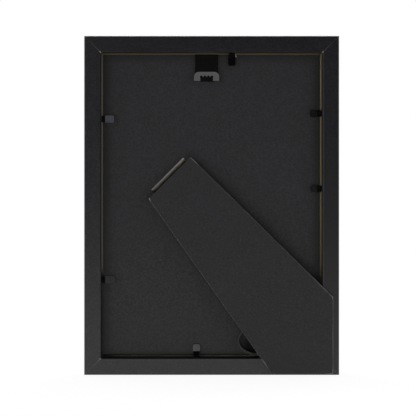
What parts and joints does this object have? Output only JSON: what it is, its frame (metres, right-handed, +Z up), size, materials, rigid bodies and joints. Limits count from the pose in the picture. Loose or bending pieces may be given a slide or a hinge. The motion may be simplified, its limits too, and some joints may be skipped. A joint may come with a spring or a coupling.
{
  "type": "easel back photo frame",
  "caption": "Black easel back photo frame with mitred rails, hinged diagonal leg on a ribbon stay, bendable steel tabs and a saw-tooth hanger.",
  "frame": {"origin": "middle of the lower rail's underside, half way through the moulding's depth", "axes": "+Z up in upright use, +Y from the easel side to the picture side, +X to the right as seen from the easel side"},
  "size_m": [0.1516, 0.0196, 0.2015],
  "materials": {
    "black_moulding": "satin black paint on fibreboard, raw tan in the rabbet",
    "black_board": "matt black paper over fibreboard",
    "dark_steel": "dark oiled spring steel",
    "bright_steel": "plain zinc-plated steel",
    "clear_glass": "clear float glass",
    "blank_paper": "matt white paper",
    "black_ribbon": "woven black ribbon"
  },
  "bodies": {
    "frame": {"rail_top": "black_moulding", "rail_bottom": "black_moulding", "rail_left": "black_moulding", "rail_right": "black_moulding", "corner_wedges": "bright_steel", "glass_pane": "clear_glass", "photo_insert": "blank_paper", "backboard": "black_board", "sawtooth_hanger": "dark_steel", "tab_shanks": "dark_steel", "hinge_board_leaf": "bright_steel", "hinge_pin": "bright_steel", "hinge_board_rivets": "bright_steel", "stay_ribbon": "black_ribbon", "ribbon_board_staple": "bright_steel"},
    "easel_leg": {"leg_panel": "black_board", "hinge_leg_leaf": "bright_steel", "hinge_leg_tacks": "bright_steel", "ribbon_leg_staple": "bright_steel"},
    "tab_left_upper_body": {"tab_left_upper": "dark_steel"},
    "tab_left_lower_body": {"tab_left_lower": "dark_steel"},
    "tab_right_upper_body": {"tab_right_upper": "dark_steel"},
    "tab_right_lower_body": {"tab_right_lower": "dark_steel"},
    "tab_top_body": {"tab_top": "dark_steel"},
    "tab_bottom_body": {"tab_bottom": "dark_steel"}
  },
  "joints": [
    {"name": "leg_hinge", "type": "hinge", "parent": "frame", "child": "easel_leg", "pos_m": [-0.0242, -0.0029, 0.1163], "axis": [-0.7071, 0, -0.7071], "range_deg": [0, 40], "deforming": ["stay_ribbon"]},
    {"name": "tab_left_upper_bend", "type": "hinge", "parent": "frame", "child": "tab_left_upper_body", "pos_m": [-0.06496, -0.0054, 0.1522], "axis": [0, 0, -1], "range_deg": [0, 70]},
    {"name": "tab_left_lower_bend", "type": "hinge", "parent": "frame", "child": "tab_left_lower_body", "pos_m": [-0.06496, -0.0054, 0.0565], "axis": [0, 0, -1], "range_deg": [0, 70]},
    {"name": "tab_right_upper_bend", "type": "hinge", "parent": "frame", "child": "tab_right_upper_body", "pos_m": [0.06496, -0.0054, 0.1555], "axis": [0, 0, 1], "range_deg": [0, 70]},
    {"name": "tab_right_lower_bend", "type": "hinge", "parent": "frame", "child": "tab_right_lower_body", "pos_m": [0.06496, -0.0054, 0.1107], "axis": [0, 0, 1], "range_deg": [0, 70]},
    {"name": "tab_top_bend", "type": "hinge", "parent": "frame", "child": "tab_top_body", "pos_m": [0.012, -0.0054, 0.19071], "axis": [-1, 0, 0], "range_deg": [0, 70]},
    {"name": "tab_bottom_bend", "type": "hinge", "parent": "frame", "child": "tab_bottom_body", "pos_m": [-0.0091, -0.0054, 0.01079], "axis": [1, 0, 0], "range_deg": [0, 70]}
  ]
}
